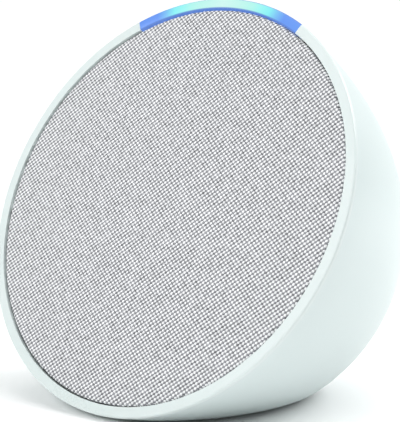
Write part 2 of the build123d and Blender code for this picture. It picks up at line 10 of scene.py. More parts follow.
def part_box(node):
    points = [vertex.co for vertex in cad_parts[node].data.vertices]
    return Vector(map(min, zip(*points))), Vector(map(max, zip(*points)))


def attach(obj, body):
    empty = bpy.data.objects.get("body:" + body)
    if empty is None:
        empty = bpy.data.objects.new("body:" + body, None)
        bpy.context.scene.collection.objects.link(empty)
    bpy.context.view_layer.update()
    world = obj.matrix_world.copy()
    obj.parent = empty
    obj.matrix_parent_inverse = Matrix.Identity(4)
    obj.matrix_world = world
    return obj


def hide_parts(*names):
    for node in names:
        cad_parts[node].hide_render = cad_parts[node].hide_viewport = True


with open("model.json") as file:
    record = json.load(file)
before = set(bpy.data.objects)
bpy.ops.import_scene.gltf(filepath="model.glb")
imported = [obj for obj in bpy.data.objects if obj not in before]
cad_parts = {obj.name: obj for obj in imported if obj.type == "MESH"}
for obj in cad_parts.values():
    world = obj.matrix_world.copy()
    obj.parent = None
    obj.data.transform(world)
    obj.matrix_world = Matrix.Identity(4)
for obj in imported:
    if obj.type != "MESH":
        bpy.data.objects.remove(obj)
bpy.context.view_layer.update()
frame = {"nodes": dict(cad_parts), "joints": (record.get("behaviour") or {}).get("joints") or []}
nodes = frame["nodes"]
mm = 0.001
print("frame loaded:", len(nodes), "CAD nodes")


# The speaker's face: its middle on the rim's front plane, and its right, up and outward directions.
# The driver's stroke gives the outward direction, and the cloth's box gives the middle.
faceSettings = {"clothInset": 0.3 * mm}
outward = Vector(next(j["axis"] for j in frame["joints"] if j["name"] == "cone_stroke")).normalized()
right = Vector((1, 0, 0))
up = outward.cross(right)


def findFace():
    low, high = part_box("grille_cloth")
    middle = (low + high) / 2
    radius = (high.x - low.x) / 2
    skirt = (high.y - low.y - 2 * radius * abs(outward.z)) / abs(outward.y)
    return middle + outward * (skirt / 2 + faceSettings["clothInset"]), radius, skirt


faceMiddle, clothRadius, clothSkirt = findFace()
faceMatrix = Matrix(
    (
        (right.x, up.x, outward.x, faceMiddle.x),
        (right.y, up.y, outward.y, faceMiddle.y),
        (right.z, up.z, outward.z, faceMiddle.z),
        (0, 0, 0, 1),
    )
)


# Camera: azimuth is measured from the front towards the speaker's right-hand side
cameraSettings = {
    "azimuth": 41.28,
    "elevation": 7.0,
    "distance": 378.9 * mm,
    "lens": 145.35,
    "shift": (0.0872, -0.0239),
}


def makeCamera(s):
    azimuth, elevation = math.radians(s["azimuth"]), math.radians(s["elevation"])
    towards = Vector(
        (
            math.sin(azimuth) * math.cos(elevation),
            -math.cos(azimuth) * math.cos(elevation),
            math.sin(elevation),
        )
    )
    data = bpy.data.cameras.new("camera")
    data.lens = s["lens"]
    data.sensor_width = 36
    data.shift_x, data.shift_y = s["shift"]
    data.clip_start = 0.01
    camera = bpy.data.objects.new("camera", data)
    camera.location = faceMiddle + towards * s["distance"]
    camera.rotation_euler = towards.to_track_quat("Z", "Y").to_euler()
    bpy.context.scene.collection.objects.link(camera)
    bpy.context.scene.camera = camera


makeCamera(cameraSettings)
print("camera placed")


# Studio: a white paper sweep behind the speaker and soft lights, all laid out as the camera sees them:
# x to its right, y away from it, z up
studioSettings = {
    "sweep": {"front": -2.0, "back": 1.0, "bend": 0.7, "rise": 0.6, "halfWidth": 2.4, "bendSteps": 12},
    "paperColour": "#fbfbfb",
    "paperRoughness": 0.9,
    "paperGrainMm": 1.1,  # real fibres are finer; drawn so coarse that they show close up
    "paperBump": 0.02,
    "paperBumpMm": 0.1,
    "worldColour": "#fafdfe",
    "worldStrength": 0.32,
    "aim": (0, 0, 0.04),  # where a lamp looks unless it says otherwise
    "lights": {
        "overheadLight": {"place": (0.05, 0.12, 0.9), "size": [0.9, 0.9], "watts": 5.0},
        "frontLight": {"place": (-0.5, -0.36, 0.44), "size": [0.45, 0.45], "watts": 3.0},
        "sideLight": {"place": (0.62, 0.2, 0.5), "size": [0.45, 0.45], "watts": 4.6},
        # lights the paper behind the speaker, and turns its back on it
        "backdropLight": {"place": (0, 0.75, 0.55), "size": [2.8, 0.3], "watts": 7.5, "aim": (0, 1.5, 0.05)},
    },
}


def toLinear(hexColour):
    value = hexColour.lstrip("#")
    channels = [int(value[i : i + 2], 16) / 255 for i in (0, 2, 4)]
    return tuple(c / 12.92 if c <= 0.04045 else ((c + 0.055) / 1.055) ** 2.4 for c in channels) + (1.0,)


# One node with its settings and its links: inputs are values or (node, output) pairs, and the stops of a
# colour ramp are (position, hex colour) pairs in rising order
def addNode(material, kind, inputs=None, stops=(), **settings):
    node = material.node_tree.nodes.new(kind)
    for i, (position, colour) in enumerate(stops):
        points = node.color_ramp.elements
        point = points[i] if i < len(points) else points.new(position)
        point.position = position
        point.color = toLinear(colour)
    for name, value in settings.items():
        setattr(node, name, value)
    for name, value in (inputs or {}).items():
        socket = node.inputs[name]
        if isinstance(name, str):
            socket = next(i for i in node.inputs if i.name == name and i.enabled)
        if isinstance(value, tuple) and len(value) == 2 and hasattr(value[0], "outputs"):
            output = next(o for o in value[0].outputs if o.name == value[1] and o.enabled)
            material.node_tree.links.new(output, socket)
        elif isinstance(value, str):
            socket.default_value = toLinear(value)
        else:
            socket.default_value = value
    return node


def newMaterial(name):
    material = bpy.data.materials.new(name)
    material.use_nodes = True
    material.node_tree.nodes.clear()
    return material


def finishMaterial(material, shader):
    out = addNode(material, "ShaderNodeOutputMaterial")
    material.node_tree.links.new(shader.outputs[0], out.inputs["Surface"])
    return material


# A finished piece, riding on its body and carrying its material
def makeObject(name, mesh, material, body, matrix):
    thing = bpy.data.objects.new(name, mesh)
    thing.matrix_world = matrix
    bpy.context.scene.collection.objects.link(thing)
    mesh.materials.append(material)
    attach(thing, body)
    return thing


# A smooth mesh from points and four-sided faces
def meshFrom(name, points, quads):
    mesh = bpy.data.meshes.new(name)
    mesh.vertices.add(len(points))
    mesh.vertices.foreach_set("co", np.asarray(points, np.float32).ravel())
    quads = np.asarray(quads, np.int32)
    mesh.loops.add(quads.size)
    mesh.loops.foreach_set("vertex_index", quads.ravel())
    mesh.polygons.add(len(quads))
    mesh.polygons.foreach_set("loop_start", np.arange(0, quads.size, quads.shape[1], dtype=np.int32))
    mesh.update(calc_edges=True)
    mesh.polygons.foreach_set("use_smooth", np.ones(len(quads), bool))
    mesh.update()
    return mesh


# Polygons with any number of corners, added to a finished mesh
def addFaces(mesh, faces):
    work = bmesh.new()
    work.from_mesh(mesh)
    work.verts.ensure_lookup_table()
    for corners in faces:
        work.faces.new([work.verts[i] for i in corners]).smooth = True
    work.to_mesh(mesh)
    work.free()


# The paper runs flat under the speaker and bends up behind it
def makeSweep(s):
    across = [-s["halfWidth"], s["halfWidth"]]
    profile = [(s["front"], 0.0), (s["back"], 0.0)]
    for i in range(1, s["bendSteps"] + 1):
        angle = math.radians(90 * i / s["bendSteps"])
        profile.append((s["back"] + s["bend"] * math.sin(angle), s["bend"] * (1 - math.cos(angle))))
    profile.append((s["back"] + s["bend"], s["bend"] + s["rise"]))
    points = [(x, y, z) for y, z in profile for x in across]
    quads = [(2 * i, 2 * i + 1, 2 * i + 3, 2 * i + 2) for i in range(len(profile) - 1)]
    mesh = meshFrom("paperSweep", points, quads)
    sweep = bpy.data.objects.new("paperSweep", mesh)
    sweep.rotation_euler.z = math.radians(cameraSettings["azimuth"])
    bpy.context.scene.collection.objects.link(sweep)
    return mesh


def makeStudio(s):
    world = bpy.data.worlds.new("world")
    bpy.context.scene.world = world
    world.use_nodes = True
    background = world.node_tree.nodes["Background"]
    background.inputs["Color"].default_value = toLinear(s["worldColour"])
    background.inputs["Strength"].default_value = s["worldStrength"]
    turn = Matrix.Rotation(math.radians(cameraSettings["azimuth"]), 4, "Z")
    for name, light in s["lights"].items():
        data = bpy.data.lights.new(name, "AREA")
        data.shape = "RECTANGLE"
        data.size, data.size_y = light["size"]
        data.energy = light["watts"]
        lamp = bpy.data.objects.new(name, data)
        place, aim = Vector(light["place"]), Vector(light.get("aim", s["aim"]))
        facing = (place - aim).to_track_quat("Z", "Y").to_matrix().to_4x4()
        lamp.matrix_world = turn @ Matrix.Translation(place) @ facing
        bpy.context.scene.collection.objects.link(lamp)
    paper = newMaterial("whitePaperRoll")
    coords = addNode(paper, "ShaderNodeTexCoord")
    grain = addNode(
        paper, "ShaderNodeTexNoise", {"Vector": (coords, "Object"), "Scale": 1 / (s["paperGrainMm"] * mm)}
    )
    bump = addNode(
        paper,
        "ShaderNodeBump",
        {"Height": (grain, "Fac"), "Strength": s["paperBump"], "Distance": s["paperBumpMm"] * mm},
    )
    shader = addNode(
        paper,
        "ShaderNodeBsdfPrincipled",
        {"Base Color": s["paperColour"], "Roughness": s["paperRoughness"], "Normal": (bump, "Normal")},
    )
    makeSweep(s["sweep"]).materials.append(finishMaterial(paper, shader))
    bpy.context.scene.view_settings.view_transform = "Standard"


makeStudio(studioSettings)
print("studio lit")


# Materials. Each dictionary starts from what the real thing is; sizes are in millimetres. Moulded grain,
# rolling lines and small weaves are finer in reality, and are drawn just coarse enough to show.

# White ABS, injection moulded against a spark-eroded tool: satin, cool white, grained at the edge of sight.
# The real grain is about 0.08 mm; it is drawn at 0.3 mm so that it can be seen at all.
whiteAbsMoulded = {
    "colours": ["#ccd8d7", "#d3dedd"],
    "patchMm": 45,
    "pattern": "grain",
    "patternMm": 0.3,
    "bumpMm": 0.012,
    "roughness": [0.34, 0.42],
    "inputs": {"IOR": 1.54, "Subsurface Weight": 0.05, "Subsurface Radius": (0.0012, 0.001, 0.0009)},
}
# The same ABS from a polished tool: the rim round the cloth has a clearer highlight
whiteAbsPolished = {
    "colours": ["#d3dedc", "#d9e2e1"],
    "patchMm": 30,
    "pattern": "grain",
    "patternMm": 0.4,
    "bumpMm": 0.003,
    "roughness": [0.26, 0.32],
    "inputs": {"IOR": 1.54, "Subsurface Weight": 0.05, "Subsurface Radius": (0.0012, 0.001, 0.0009)},
}
# Keys in the shell's plastic with a finer satin, slightly polished by fingers
whiteAbsKeys = {
    "colours": ["#ceddda", "#d4e1df"],
    "patchMm": 6,
    "pattern": "grain",
    "patternMm": 0.25,
    "bumpMm": 0.008,
    "roughness": [0.3, 0.42],
    "inputs": {"IOR": 1.54},
}
# Grey glass-filled nylon: dull, with a mottled skin
greyNylonMoulded = {
    "colours": ["#4d5053", "#5d6063"],
    "patchMm": 8,
    "pattern": "grain",
    "patternMm": 0.4,
    "bumpMm": 0.02,
    "roughness": [0.5, 0.65],
    "inputs": {"IOR": 1.53},
}
# Black ABS for baffles and brackets: nearly black, soft highlights
blackAbsMoulded = {
    "colours": ["#1b1c1e", "#26272a"],
    "patchMm": 10,
    "pattern": "grain",
    "patternMm": 0.35,
    "bumpMm": 0.015,
    "roughness": [0.38, 0.52],
    "inputs": {"IOR": 1.54},
}
# Undyed ABS inside the case: ivory, a little waxy
ivoryAbsMoulded = {
    "colours": ["#cfcabc", "#dcd8cc"],
    "patchMm": 12,
    "pattern": "grain",
    "patternMm": 0.4,
    "bumpMm": 0.015,
    "roughness": [0.4, 0.5],
    "inputs": {"IOR": 1.54, "Subsurface Weight": 0.08, "Subsurface Radius": (0.0015, 0.0012, 0.0008)},
}
# Silicone foot, compression moulded: matt mid grey that picks up pale dust
siliconeFoot = {
    "colours": ["#8f9596", "#a3a8a8"],
    "patchMm": 5,
    "pattern": "grain",
    "patternMm": 0.5,
    "bumpMm": 0.03,
    "roughness": [0.7, 0.85],
    "inputs": {"IOR": 1.43},
}
# Black EPDM seals: matt with a greasy bloom
epdmSeal = {
    "colours": ["#141414", "#222223"],
    "patchMm": 3,
    "pattern": "grain",
    "patternMm": 0.3,
    "bumpMm": 0.02,
    "roughness": [0.6, 0.75],
    "inputs": {"IOR": 1.52},
}
# Open-cell polyurethane foam, die cut: every cell shows as a pit
polyurethaneFoam = {
    "colours": ["#232326", "#3a3a3e"],
    "patchMm": 4,
    "pattern": "cells",
    "patternMm": 0.5,
    "bumpMm": 0.15,
    "roughness": [0.85, 0.95],
    "inputs": {"IOR": 1.4},
}
# Nitrile rubber surround: black, satin, slightly stretched
nitrileSurround = {
    "colours": ["#111112", "#1b1b1d"],
    "patchMm": 6,
    "pattern": "grain",
    "patternMm": 0.25,
    "bumpMm": 0.01,
    "roughness": [0.42, 0.55],
    "inputs": {"IOR": 1.52},
}
# Pressed paper pulp, dyed black: fibres and small pits
pressedPulpCone = {
    "colours": ["#1d1d1f", "#313134"],
    "patchMm": 3,
    "pattern": "fibres",
    "patternMm": 0.5,
    "bumpMm": 0.05,
    "roughness": [0.7, 0.85],
    "inputs": {"IOR": 1.5, "Sheen Weight": 0.15},
}
# Phenolic-dipped cotton: golden brown cloth with the weave still open
phenolicCotton = {
    "colours": ["#a37d3c", "#c9a45c"],
    "patchMm": 4,
    "pattern": "weave",
    "patternMm": 0.7,
    "bumpMm": 0.08,
    "roughness": [0.5, 0.65],
    "inputs": {"IOR": 1.6},
}
# Polyimide film wound into a tube: amber and glossy, with the wrap's faint lines
polyimideFilm = {
    "colours": ["#b06a1c", "#cf8c33"],
    "patchMm": 5,
    "pattern": "brushed",
    "patternMm": 0.4,
    "bumpMm": 0.004,
    "roughness": [0.15, 0.28],
    "inputs": {"IOR": 1.7, "Transmission Weight": 0.15},
}
# Enamelled copper wire, wound tight: one ridge for each turn
enamelledCopper = {
    "colours": ["#b8683c", "#d88a58"],
    "patchMm": 2,
    "pattern": "turns",
    "patternMm": 0.3,
    "bumpMm": 0.06,
    "roughness": [0.2, 0.32],
    "inputs": {"Metallic": 1.0, "Coat Weight": 0.5},
}
# Sintered strontium ferrite, ground flat: charcoal, stony, with grinding marks
sinteredFerrite = {
    "colours": ["#26272a", "#37383b"],
    "patchMm": 2,
    "pattern": "cells",
    "patternMm": 0.35,
    "bumpMm": 0.02,
    "roughness": [0.45, 0.6],
    "inputs": {"IOR": 2.2},
}
# Zinc-plated steel plates: bluish, with rolling lines and a dull bloom
zincPlatedSteel = {
    "colours": ["#b4bac0", "#cfd4d8"],
    "patchMm": 5,
    "pattern": "brushed",
    "patternMm": 0.25,
    "bumpMm": 0.006,
    "roughness": [0.24, 0.38],
    "inputs": {"Metallic": 1.0},
}
# Blackened steel screws, tumbled: dark with bright worn edges
blackenedSteel = {
    "colours": ["#4a4b4e", "#6b6c70"],
    "patchMm": 1,
    "pattern": "grain",
    "patternMm": 0.3,
    "bumpMm": 0.01,
    "roughness": [0.3, 0.45],
    "inputs": {"Metallic": 1.0},
}
# Powder-coated steel basket: black orange-peel
powderCoatedSteel = {
    "colours": ["#17181a", "#212225"],
    "patchMm": 6,
    "pattern": "grain",
    "patternMm": 0.8,
    "bumpMm": 0.03,
    "roughness": [0.4, 0.5],
    "inputs": {"IOR": 1.5},
}
# Tin-plated steel shields, stamped: bright and slightly wavy
tinPlatedSteel = {
    "colours": ["#c9cac8", "#dcdcd9"],
    "patchMm": 3,
    "pattern": "grain",
    "patternMm": 2.0,
    "bumpMm": 0.01,
    "roughness": [0.2, 0.32],
    "inputs": {"Metallic": 1.0},
}
# Rolled aluminium sheet: pale, with straight rolling lines
rolledAluminium = {
    "colours": ["#c8cbce", "#dddfe1"],
    "patchMm": 8,
    "pattern": "brushed",
    "patternMm": 0.3,
    "bumpMm": 0.006,
    "roughness": [0.28, 0.4],
    "inputs": {"Metallic": 1.0},
}
# Glass-fibre laminate under green resist: the cloth prints faintly through
greenLaminate = {
    "colours": ["#1d5a3c", "#27704b"],
    "patchMm": 6,
    "pattern": "weave",
    "patternMm": 0.6,
    "bumpMm": 0.01,
    "roughness": [0.3, 0.42],
    "inputs": {"IOR": 1.55, "Coat Weight": 0.3},
}
# The same laminate under white resist, for the lamps
whiteLaminate = {
    "colours": ["#dcdedd", "#e8eae8"],
    "patchMm": 6,
    "pattern": "weave",
    "patternMm": 0.6,
    "bumpMm": 0.01,
    "roughness": [0.32, 0.45],
    "inputs": {"IOR": 1.55},
}
# Polyimide ribbon with copper tracks inside: dark orange stripes
trackedRibbon = {
    "colours": ["#8d4f14", "#c07a2a"],
    "patchMm": 2,
    "pattern": "brushed",
    "patternMm": 0.5,
    "bumpMm": 0.01,
    "roughness": [0.2, 0.3],
    "inputs": {"IOR": 1.7},
}
# Epoxy chip packages, transfer moulded: black with a fine matt skin
epoxyPackage = {
    "colours": ["#1a1b1c", "#242526"],
    "patchMm": 2,
    "pattern": "grain",
    "patternMm": 0.25,
    "bumpMm": 0.012,
    "roughness": [0.5, 0.62],
    "inputs": {"IOR": 1.55},
}
# Lamp packages: white ceramic with a yellowish phosphor bloom
phosphorLamp = {
    "colours": ["#e9e6cf", "#f1efe0"],
    "patchMm": 1,
    "pattern": "grain",
    "patternMm": 0.3,
    "bumpMm": 0.01,
    "roughness": [0.35, 0.5],
    "inputs": {"IOR": 1.76},
}
# Capacitor cans: drawn aluminium under a thin clear sleeve
drawnAluminiumCan = {
    "colours": ["#b9bcc0", "#d2d5d8"],
    "patchMm": 2,
    "pattern": "brushed",
    "patternMm": 0.2,
    "bumpMm": 0.006,
    "roughness": [0.22, 0.34],
    "inputs": {"Metallic": 1.0, "Coat Weight": 0.4},
}
# Ceramic-filled silicone pad: soft pale blue putty
filledSilicone = {
    "colours": ["#8fb0c4", "#a5c2d3"],
    "patchMm": 2,
    "pattern": "cells",
    "patternMm": 0.4,
    "bumpMm": 0.03,
    "roughness": [0.7, 0.85],
    "inputs": {"IOR": 1.43},
}
# PVC wire insulation, extruded: smooth, slightly waxy, one red and one black
redPvc = {
    "colours": ["#a81f1c", "#c02a26"],
    "patchMm": 3,
    "pattern": "brushed",
    "patternMm": 0.3,
    "bumpMm": 0.006,
    "roughness": [0.32, 0.45],
    "inputs": {"IOR": 1.53},
}
blackPvc = dict(redPvc, colours=["#17171a", "#232326"])
# Phosphor bronze spring strip: warm and bright, with rolling lines
phosphorBronze = {
    "colours": ["#b8894e", "#d3a667"],
    "patchMm": 1,
    "pattern": "brushed",
    "patternMm": 0.2,
    "bumpMm": 0.004,
    "roughness": [0.2, 0.32],
    "inputs": {"Metallic": 1.0},
}


# Patterns lie in the object's own directions: rolling lines run along X, turns are stacked in Z
patternSettings = {
    "waveSpacing": 0.314,  # a wave texture's own spacing, in its units: gives one band for each patternMm
    "weaveWobble": 0.3,
    "turnsWobble": 0.2,
    "drawnOut": 0.05,  # rolling lines vary this much more slowly along than across
    "fibreBend": 0.3,  # fibres follow a coarser noise, and are tangled by how far it leads them
    "fibreTangle": 0.02,
    "fibreWobble": 1.5,
}


def addPattern(material, coords, kind, size):
    s = patternSettings
    place = (coords, "Object")
    if kind == "cells":
        return addNode(material, "ShaderNodeTexVoronoi", {"Vector": place, "Scale": 1 / size}), "Distance"
    if kind == "fibres":
        bent = addNode(material, "ShaderNodeTexNoise", {"Vector": place, "Scale": s["fibreBend"] / size})
        tangle = {"Vector": (bent, "Color"), "Scale": s["fibreTangle"] / size}
        tangle.update({"Detail": 6.0, "Distortion": s["fibreWobble"]})
        return addNode(material, "ShaderNodeTexNoise", tangle), "Fac"
    wave = {"Vector": place, "Scale": s["waveSpacing"] / size}
    if kind == "weave":
        wave["Distortion"] = s["weaveWobble"]
        warp = addNode(material, "ShaderNodeTexWave", wave, bands_direction="X")
        weft = addNode(material, "ShaderNodeTexWave", wave, bands_direction="Y")
        crossed = {0: (warp, "Fac"), 1: (weft, "Fac")}
        return addNode(material, "ShaderNodeMath", crossed, operation="MAXIMUM"), "Value"
    if kind == "turns":
        wave["Distortion"] = s["turnsWobble"]
        return addNode(material, "ShaderNodeTexWave", wave, bands_direction="Z"), "Fac"
    if kind == "brushed":
        drawn = addNode(material, "ShaderNodeMapping", {"Vector": place, "Scale": (s["drawnOut"], 1, 1)})
        place = (drawn, "Vector")
    return addNode(material, "ShaderNodeTexNoise", {"Vector": place, "Scale": 1 / size, "Detail": 3.0}), "Fac"


# Colour drifts in patches and follows the pattern a little, darker in the pattern's hollows as painted shade,
# and the gloss wanders with both
surfaceSettings = {
    # the part of the colour that follows the pattern puts painted shade in its hollows
    "patternAndHollowShadeShare": 0.3,  # how much of the colour follows the pattern, the rest follows the patches
    "spread": [0.3, 0.7],  # noise values that give the first and the last colour
    "bump": 0.8,
}


def makeSurface(name, settings):
    s = {**surfaceSettings, **settings}
    low, high = s["spread"]
    m = newMaterial(name)
    coords = addNode(m, "ShaderNodeTexCoord")
    pattern = addPattern(m, coords, s["pattern"], s["patternMm"] * mm)
    drift = addNode(
        m, "ShaderNodeTexNoise", {"Vector": (coords, "Object"), "Scale": 1 / (s["patchMm"] * mm), "Detail": 2.0}
    )
    # Painted shade: the pattern's hollows take the darker colour
    mixed = addNode(m, "ShaderNodeMix", {"Factor": s["patternAndHollowShadeShare"], "A": (drift, "Fac"), "B": pattern})
    stops = zip(s["spread"], s["colours"])
    colour = addNode(m, "ShaderNodeValToRGB", {"Fac": (mixed, "Result")}, stops)
    gloss = addNode(
        m,
        "ShaderNodeMapRange",
        {
            "Value": (mixed, "Result"),
            "From Min": low,
            "From Max": high,
            "To Min": s["roughness"][0],
            "To Max": s["roughness"][1],
        },
    )
    bump = addNode(
        m, "ShaderNodeBump", {"Height": pattern, "Strength": s["bump"], "Distance": s["bumpMm"] * mm}
    )
    shader = addNode(
        m,
        "ShaderNodeBsdfPrincipled",
        {
            "Base Color": (colour, "Color"),
            "Roughness": (gloss, "Result"),
            "Normal": (bump, "Normal"),
            **s["inputs"],
        },
    )
    return finishMaterial(m, shader)


# Opal acrylic lit from behind: blue at both ends, cyan, nearly white in the middle, with a deeper blue painted
# along its edges as shade.
# Stops run from one end to the middle, as (place along the bar, colour), and repeat in mirror order.
opalAcrylic = {
    "ends": ["#6b9dfb", "#6ea1fc"],
    "stops": [
        (0.11, "#6c9ffc"),
        (0.16, "#7fc8fc"),
        (0.21, "#8cf8fc"),
        (0.26, "#9ffdfb"),
        (0.31, "#b6fdf4"),
        (0.37, "#c3fdf3"),
        (0.5, "#d4fef7"),
    ],
    "halfAngle": 28.8,
    "glow": 0.93,
    # painted shade: the glow turns deeper blue this close to the bar's inner and outer edges
    "edgeShadeMm": 0.35,
    "edgeShadeColour": "#5f86d8",
    "bodyColour": "#0c1014",
    "roughness": 0.25,
    "ior": 1.49,
    "hazeMm": 0.4,  # real haze is far finer; drawn so coarse that it shows in a highlight
    "hazeBump": 0.05,
    "hazeBumpMm": 0.01,
}


def makeOpalAcrylic(s, inner, outer):
    m = newMaterial("opalAcrylicLit")
    coords = addNode(m, "ShaderNodeTexCoord")
    split = addNode(m, "ShaderNodeSeparateXYZ", {"Vector": (coords, "Object")})
    angle = addNode(m, "ShaderNodeMath", {0: (split, "X"), 1: (split, "Y")}, operation="ARCTAN2")
    spread = math.radians(s["halfAngle"])
    along = addNode(
        m, "ShaderNodeMapRange", {"Value": (angle, "Value"), "From Min": -spread, "From Max": spread}
    )
    stops = [(0.0, s["ends"][0])] + s["stops"]
    stops += [(1 - at, colour) for at, colour in reversed(s["stops"][:-1])] + [(1.0, s["ends"][1])]
    colour = addNode(m, "ShaderNodeValToRGB", {"Fac": (along, "Result")}, stops)
    flat = addNode(m, "ShaderNodeVectorMath", {0: (coords, "Object"), 1: (1, 1, 0)}, operation="MULTIPLY")
    reach = addNode(m, "ShaderNodeVectorMath", {0: (flat, "Vector")}, operation="LENGTH")
    # Painted shade: the glow is mixed towards the deeper blue near the bar's inner and outer edges
    edge = s["edgeShadeMm"] * mm
    near = addNode(
        m,
        "ShaderNodeMapRange",
        {"Value": (reach, "Value"), "From Min": inner, "From Max": inner + edge},
        interpolation_type="SMOOTHSTEP",
    )
    beyond = addNode(
        m,
        "ShaderNodeMapRange",
        {"Value": (reach, "Value"), "From Min": outer, "From Max": outer - edge},
        interpolation_type="SMOOTHSTEP",
    )
    inside = addNode(m, "ShaderNodeMath", {0: (near, "Result"), 1: (beyond, "Result")}, operation="MULTIPLY")
    shaded = addNode(
        m,
        "ShaderNodeMix",
        {"Factor": (inside, "Value"), "A": s["edgeShadeColour"], "B": (colour, "Color")},
        data_type="RGBA",
    )
    haze = addNode(m, "ShaderNodeTexNoise", {"Vector": (coords, "Object"), "Scale": 1 / (s["hazeMm"] * mm)})
    bump = addNode(
        m,
        "ShaderNodeBump",
        {"Height": (haze, "Fac"), "Strength": s["hazeBump"], "Distance": s["hazeBumpMm"] * mm},
    )
    shader = addNode(
        m,
        "ShaderNodeBsdfPrincipled",
        {
            "Base Color": s["bodyColour"],
            "Roughness": s["roughness"],
            "IOR": s["ior"],
            "Emission Color": (shaded, "Result"),
            "Emission Strength": s["glow"],
            "Normal": (bump, "Normal"),
        },
    )
    return finishMaterial(m, shader)


# Textured polyester yarn, spun in bundles: bright crowns, a fibre grain along the thread and a little sheen.
# Real filaments are about 0.02 mm; the grain is drawn at 0.11 mm so that it breaks up the highlights.
polyesterYarnWhite = {
    "colours": ["#e4e5e7", "#fcfdfe"],
    "acrossMm": 0.11,
    "alongMm": 0.67,
    "patchMm": 1.1,
    "spread": [0.12, 0.36],  # grain values that give the first and the last colour
    "bump": 0.5,
    "bumpMm": 0.03,
    "inputs": {"Roughness": 0.62, "IOR": 1.57, "Sheen Weight": 0.25, "Sheen Roughness": 0.4},
}
polyesterYarnGrey = dict(polyesterYarnWhite, colours=["#646569", "#999aa0"])


def makeYarn(name, s, alongX):
    m = newMaterial(name)
    coords = addNode(m, "ShaderNodeTexCoord")
    across, along = 1 / (s["acrossMm"] * mm), 1 / (s["alongMm"] * mm)
    grain = (along, across, across) if alongX else (across, along, across)
    stretched = addNode(m, "ShaderNodeMapping", {"Vector": (coords, "Object"), "Scale": grain})
    fibres = addNode(m, "ShaderNodeTexNoise", {"Vector": (stretched, "Vector"), "Scale": 1.0, "Detail": 3.0})
    patches = addNode(
        m, "ShaderNodeTexNoise", {"Vector": (coords, "Object"), "Scale": 1 / (s["patchMm"] * mm), "Detail": 1.0}
    )
    mixed = addNode(m, "ShaderNodeMath", {0: (fibres, "Fac"), 1: (patches, "Fac")}, operation="MULTIPLY")
    stops = zip(s["spread"], s["colours"])
    colour = addNode(m, "ShaderNodeValToRGB", {"Fac": (mixed, "Value")}, stops)
    bump = addNode(
        m, "ShaderNodeBump", {"Height": (fibres, "Fac"), "Strength": s["bump"], "Distance": s["bumpMm"] * mm}
    )
    shader = addNode(
        m,
        "ShaderNodeBsdfPrincipled",
        {"Base Color": (colour, "Color"), "Normal": (bump, "Normal"), **s["inputs"]},
    )
    return finishMaterial(m, shader)


# Black non-woven backing between the threads: dull, with a fluff that catches a little light
nonWovenBacking = {
    "colours": ["#202225", "#373a3e"],
    "fluffMm": 0.7,
    "spread": [0.3, 0.7],
    "bump": 0.4,
    "bumpMm": 0.05,
    "roughness": 0.9,
}


def makeBacking(s):
    m = newMaterial("nonWovenBacking")
    coords = addNode(m, "ShaderNodeTexCoord")
    fluff = addNode(
        m, "ShaderNodeTexNoise", {"Vector": (coords, "Object"), "Scale": 1 / (s["fluffMm"] * mm), "Detail": 2.0}
    )
    stops = zip(s["spread"], s["colours"])
    colour = addNode(m, "ShaderNodeValToRGB", {"Fac": (fluff, "Fac")}, stops)
    bump = addNode(
        m, "ShaderNodeBump", {"Height": (fluff, "Fac"), "Strength": s["bump"], "Distance": s["bumpMm"] * mm}
    )
    shader = addNode(
        m,
        "ShaderNodeBsdfPrincipled",
        {"Base Color": (colour, "Color"), "Roughness": s["roughness"], "Normal": (bump, "Normal")},
    )
    return finishMaterial(m, shader)


# Grille cloth: a plain weave of white warp and grey weft over one continuous ground. Each thread is a bent
# strip whose floats lean a little up to the right, so the weave reads as diagonal rows.
weaveSettings = {
    "warpPitch": 0.646 * mm,
    "weftPitch": 0.5537 * mm,
    "warpWidth": 0.54 * mm,
    "weftWidth": 0.44 * mm,
    "thickness": 0.26 * mm,
    "wave": 0.13 * mm,
    "depth": 0.42 * mm,
    "section": [-90, -32, 32, 90],  # the strip's cross-section, as degrees round an ellipse
    "crownSwell": 0.14,  # how much wider a thread is where it lies on top
    "turn": 0.4,  # the whole cloth, in degrees
    "stepsPerThread": 3,
    "edgeRound": 0.9 * mm,
    "threadInset": 0.05 * mm,  # threads end this far inside the ground's edge
    "groundDepth": 0.66 * mm,
    "groundMiddle": 0.5 * mm,
    "groundRings": 60,
    "groundRounding": [0.8, 0.6, 0.4, 0.25, 0.12, 0.04, 0],  # rings round the edge, as parts of edgeRound
    "groundSides": 192,
    "warpSlant": 0.03 * mm,
    "weftSlant": 0.058 * mm,
    "wander": 0.009 * mm,
    "slowSway": 9 * mm,
    "quickSway": 2.3 * mm,
    "quickShare": 0.6,
    "quickStart": 5,  # how widely the quick sway's starting points are spread
    "skirtCut": 0.2 * mm,  # cloth past the skirt, tucked behind the frame's edge
    "seed": 7,
}


# How far the cloth drops as it rounds the frame's edge
def edgeDrop(radius, s):
    inside = clothRadius - s["edgeRound"]
    part = np.clip((radius - inside) / s["edgeRound"], 0, 1)
    return s["edgeRound"] * (1 - np.sqrt(np.maximum(0, 1 - part**2)))


